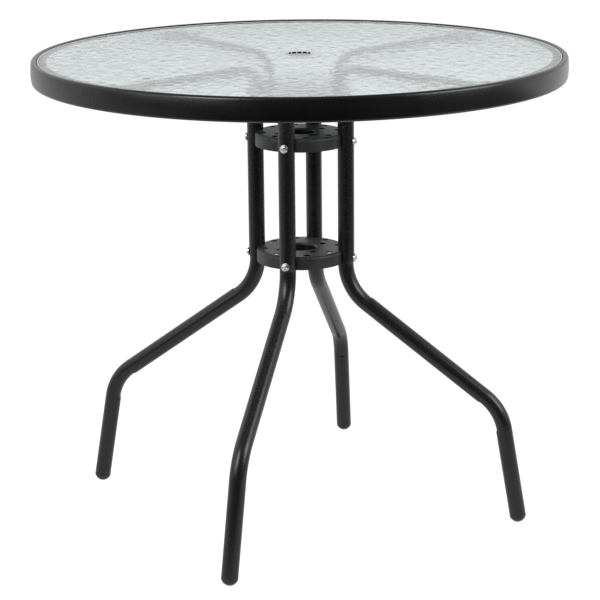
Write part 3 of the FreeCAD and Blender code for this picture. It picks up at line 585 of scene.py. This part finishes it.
def bent_stations(corners, radius):
    """Places along straight runs and tangent arcs, each with the way to its bend's centre and the
    share, from 0 to 1, by which its inner side is drawn in."""
    stations = []
    start = corners[0]
    inward_before = None
    for before, corner, after in zip(corners, corners[1:], corners[2:]):
        back = (before - corner).normalized()
        ahead = (after - corner).normalized()
        half_angle = back.angle(ahead) / 2
        tangent = radius / math.tan(half_angle)
        arc_start = corner + back * tangent
        centre = corner + (back + ahead).normalized() * (radius / math.sin(half_angle))
        to_start = (arc_start - centre).normalized()
        turn = math.pi - 2 * half_angle
        stations += run_stations(start, arc_start, inward_before, -to_start)
        spans = max(BEND_SPANS_LEAST, round(math.degrees(turn) / BEND_SPACING))
        for span in range(1, spans):
            angle = turn * span / spans
            out = to_start * math.cos(angle) - back * math.sin(angle)
            stations.append((centre + out * radius, -out, 1.0))
        last_out = to_start * math.cos(turn) - back * math.sin(turn)
        start = corner + ahead * tangent
        inward_before = -last_out
    stations += run_stations(start, corners[-1], inward_before, None)
    return stations


def run_stations(start, end, inward_before, inward_after):
    """Places along a straight run, close together next to its bends."""
    length = (end - start).length
    marks = {0.0: 1.0 if inward_before else 0.0, length: 1.0 if inward_after else 0.0}
    for share in BEND_STEP_MARKS:
        eased = 1 - share * share * (3 - 2 * share)
        if inward_before:
            marks[BEND_STEP * share] = eased
        if inward_after:
            marks[length - BEND_STEP * share] = eased
    spans = math.ceil(length / RUN_SPACING)
    for span in range(1, spans):
        place = length * span / spans
        if 2 * BEND_STEP < place < length - 2 * BEND_STEP:
            marks[place] = 0.0
    stations = []
    for place in sorted(marks):
        inward = inward_before if place < length / 2 else inward_after
        stations.append((start.lerp(end, place / length), inward or Vector((1, 0, 0)), marks[place]))
    return stations


def bent_tube(name, corners, bend, radius, flat, material):
    """A round tube along its corners, the inner side of each bend drawn in by flat."""
    stations = bent_stations(corners, bend)
    mesh = bmesh.new()
    rings = []
    side = None
    for index, (place, inward, share) in enumerate(stations):
        before = stations[max(index - 1, 0)][0]
        after = stations[min(index + 1, len(stations) - 1)][0]
        along = (after - before).normalized()
        side = side or along.orthogonal()
        side = (side - along * side.dot(along)).normalized()
        other = along.cross(side)
        ring = []
        for corner in range(TUBE_SIDES):
            angle = 2 * math.pi * corner / TUBE_SIDES
            out = side * math.cos(angle) + other * math.sin(angle)
            drawn_in = flat * share * max(0, out.dot(inward)) ** 2
            ring.append(mesh.verts.new(place + out * (radius - drawn_in)))
        rings.append(ring)
    join_rings(mesh, rings, closed=False)
    mesh.faces.new(rings[0])
    mesh.faces.new(rings[-1])
    return finished_object(name, mesh, material)


def leg_tube(leg, material):
    tube = bent_tube(f"bent_tube_{leg}", leg_corners(leg), LEG_BEND, TUBE_RADIUS, BEND_FLAT, material)
    stand_for(tube, f"leg_{leg}")


def arm_tube(leg, material):
    tube = bent_tube(f"bent_arm_{leg}", arm_corners(leg), ARM_BEND, ARM_RADIUS, ARM_FLAT, material)
    stand_for(tube, f"arm_{leg}")


def foot_cap(leg, material):
    """A domed cap turned to the foot's lean."""
    tip, up_axis, _ = foot_frame(leg)
    edge_angle = -math.degrees(math.acos(TUBE_RADIUS / CAP_SPHERE))
    top = CAP_DOME + CAP_COLLAR
    dome_steps = 16
    edge_steps = 6
    profile = arc_points(0, CAP_SPHERE, CAP_SPHERE, CAP_POLE_ANGLE, edge_angle, dome_steps)
    profile += arc_points(TUBE_RADIUS - CAP_ROUND, top - CAP_ROUND, CAP_ROUND, 0, 90, edge_steps)
    profile.append((CAP_PINHOLE, top))
    cap = lathe(f"domed_cap_{leg}", profile, material, CAP_SECTORS)
    turned = Vector((0, 0, 1)).rotation_difference(up_axis).to_matrix().to_4x4()
    cap.data.transform(Matrix.Translation(tip) @ turned)
    stand_for(cap, f"foot_cap_{leg}")


def dress(node_name, material):
    node = NODES[node_name]
    node.data.materials.clear()
    node.data.materials.append(material)


def dress_nodes(finishes):
    """Gives every node the finish of its slot; the ledge that the glass lies on is galvanised."""
    for subpart in frame["record"]["subparts"]:
        name = subpart["node"]
        finish = finishes[subpart["material_slot"]]
        dress(name, finishes["galvanised"] if name in ("glass_ledge_ring", "ledge_band") else finish)


def floor_in_gloss(tree, across, depth):
    """How bright the floor is in reflections: dark in front of the table, paler to its sides and back."""
    right_share = spread(tree, across, (0.2, 1.0), (1.0, 1.45))
    under_table = product(tree, spread(tree, depth, (-1.3, -0.45), (0.03, 0.75), smooth=True), right_share)
    far_left = spread(tree, depth, (-2.8, 1.0), (0.11, 0.81))
    right_back = spread(tree, depth, (0.2, 1.6), (0.2, 1.04), smooth=True)
    far_right = product(tree, right_back, spread(tree, depth, (-2.8, 0), (0.5, 1.0)))
    beside = between(tree, spread(tree, across, (-1, 1), WHOLE_RANGE), far_left, far_right)
    aside = spread(tree, arithmetic(tree, "ABSOLUTE", across), (0.6, 2.0), WHOLE_RANGE, smooth=True)
    return between(tree, aside, under_table, beside)


def floor_through_glass(tree, across, depth):
    """How bright the floor is through the glass: pale near the table, dimmer from 3 to 6 m behind it,
    most so on the left."""
    near_level = 0.8
    left_share = spread(tree, across, (-1.0, 0.0), (0.68, 1.0))
    far_level = product(tree, spread(tree, depth, (3.8, 6.2), (0.45, 0.82), smooth=True), left_share)
    return between(tree, spread(tree, depth, (2.6, 3.6), WHOLE_RANGE, smooth=True), near_level, far_level)


def pale_floor():
    """White to the camera, with the shadow kept, and with its own brightness in gloss and through glass."""
    camera_level = 0.87
    material, tree, output, place = new_material("pale_floor")
    path = add_node(tree, "LightPath").outputs
    axes = axes_of(tree, place)
    through_glass = floor_through_glass(tree, axes["X"], axes["Y"])
    seen = between(tree, path["Is Transmission Ray"], 0.0, through_glass)
    seen = between(tree, path["Is Camera Ray"], seen, camera_level)
    paint = add_node(tree, "BsdfDiffuse", {"Color": (0.3, 0.3, 0.3, 1)}).outputs["BSDF"]
    seen_floor = add_node(tree, "AddShader", {0: paint, 1: emission(tree, seen)}).outputs["Shader"]
    gloss_floor = emission(tree, floor_in_gloss(tree, axes["X"], axes["Y"]))
    # A ray that came through glass also counts as glossy
    mirrored = between(tree, path["Is Transmission Ray"], path["Is Glossy Ray"], 0.0)
    show(tree, output, mix_shaders(tree, mirrored, seen_floor, gloss_floor))
    return material


def add_floor():
    data = bpy.data.meshes.new("floor")
    signs = ((-1, -1), (1, -1), (1, 1), (-1, 1))
    corners = [(FLOOR_HALF_SIDE * side, FLOOR_HALF_SIDE * end, 0) for side, end in signs]
    data.from_pydata(corners, [], [(0, 1, 2, 3)])
    data.materials.append(pale_floor())
    floor = bpy.data.objects.new("floor", data)
    bpy.context.collection.objects.link(floor)


def add_camera():
    """The photograph's view: pitched down, with a touch of yaw and roll."""
    ahead = Vector((math.sin(CAMERA_YAW) * math.cos(CAMERA_PITCH),
                    math.cos(CAMERA_YAW) * math.cos(CAMERA_PITCH),
                    -math.sin(CAMERA_PITCH)))
    level_right = Vector((math.cos(CAMERA_YAW), -math.sin(CAMERA_YAW), 0))
    level_up = level_right.cross(ahead)
    right = level_right * math.cos(CAMERA_ROLL) + level_up * math.sin(CAMERA_ROLL)
    up = level_up * math.cos(CAMERA_ROLL) - level_right * math.sin(CAMERA_ROLL)
    turned = Matrix((right, up, -ahead)).transposed().to_4x4()
    data = bpy.data.cameras.new("camera")
    data.sensor_width = SENSOR_WIDTH
    data.lens = FOCAL_PIXELS * SENSOR_WIDTH / IMAGE_WIDTH
    camera = bpy.data.objects.new("camera", data)
    bpy.context.collection.objects.link(camera)
    camera.matrix_world = Matrix.Translation(CAMERA_PLACE) @ turned
    bpy.context.scene.camera = camera


def add_world():
    """A studio that is pale behind and beside the table, dimmer overhead and dark in front."""
    overhead_level = 0.28
    world = bpy.data.worlds.new("studio")
    bpy.context.scene.world = world
    world.use_nodes = True
    tree = world.node_tree
    tree.nodes.clear()
    axes = axes_of(tree, add_node(tree, "TexCoord").outputs["Generated"])
    around = spread(tree, axes["Y"], (-0.75, 0.0), (0.12, 1.0), smooth=True)
    wall = spread(tree, axes["Z"], (0.0, 0.4), (0.76, 1.0), smooth=True)
    overhead = spread(tree, axes["Z"], (0.6, 0.9), WHOLE_RANGE, smooth=True)
    strength = between(tree, overhead, product(tree, around, wall), overhead_level)
    camera_ray = add_node(tree, "LightPath").outputs["Is Camera Ray"]
    strength = between(tree, camera_ray, strength, 1.0)
    background = add_node(tree, "Background", {"Color": WHITE, "Strength": strength})
    show(tree, add_node(tree, "OutputWorld"), background.outputs["Background"])


def add_softbox(name, azimuth, elevation, width, height, brightness):
    """A lamp that looks at the table from a direction; azimuth 0 is behind it and 90 to its right."""
    level = math.cos(math.radians(elevation))
    way = Vector((math.sin(math.radians(azimuth)) * level,
                  math.cos(math.radians(azimuth)) * level,
                  math.sin(math.radians(elevation))))
    data = bpy.data.lights.new(name, "AREA")
    data.shape = "RECTANGLE"
    data.size = width
    data.size_y = height
    data.energy = brightness * math.pi * width * height
    lamp = bpy.data.objects.new(name, data)
    lamp.location = LAMP_TARGET + way * LAMP_REACH
    lamp.rotation_euler = (-way).to_track_quat("-Z", "Y").to_euler()
    bpy.context.collection.objects.link(lamp)


def add_lamps():
    add_softbox("left_box", azimuth=-143, elevation=34, width=0.8, height=1.0, brightness=7)
    add_softbox("left_fill", azimuth=-132, elevation=18, width=1.8, height=0.8, brightness=1.9)
    add_softbox("right_box", azimuth=115, elevation=27, width=1.4, height=1.2, brightness=4.4)


def build():
    # Two copies of one powder coat: the rim's is darker, painted shade on the rim
    shaded_rim_paint = frame_paint("shaded_rim_paint", RIM_SHADED_BLACKS)
    tube_paint = frame_paint("tube_paint", TUBE_BLACKS)
    plastic = black_plastic()
    glass = rippled_glass()
    dress_nodes({"frame_paint": shaded_rim_paint,
                 "plate_paint": plate_paint(),
                 "rippled_glass": glass,
                 "clear_plastic": clear_plastic(),
                 "gasket_strip": pale_gasket(),
                 "black_plastic": plastic,
                 "zinc_steel": zinc_steel(),
                 "galvanised": galvanised_steel()})
    table_rim(shaded_rim_paint)
    glass_top(glass)
    umbrella_ring()
    for leg in LEG_NAMES:
        leg_tube(leg, tube_paint)
        arm_tube(leg, tube_paint)
        foot_cap(leg, plastic)
    add_floor()
    add_camera()
    add_world()
    add_lamps()
    bpy.context.scene.view_settings.view_transform = "Standard"


build()
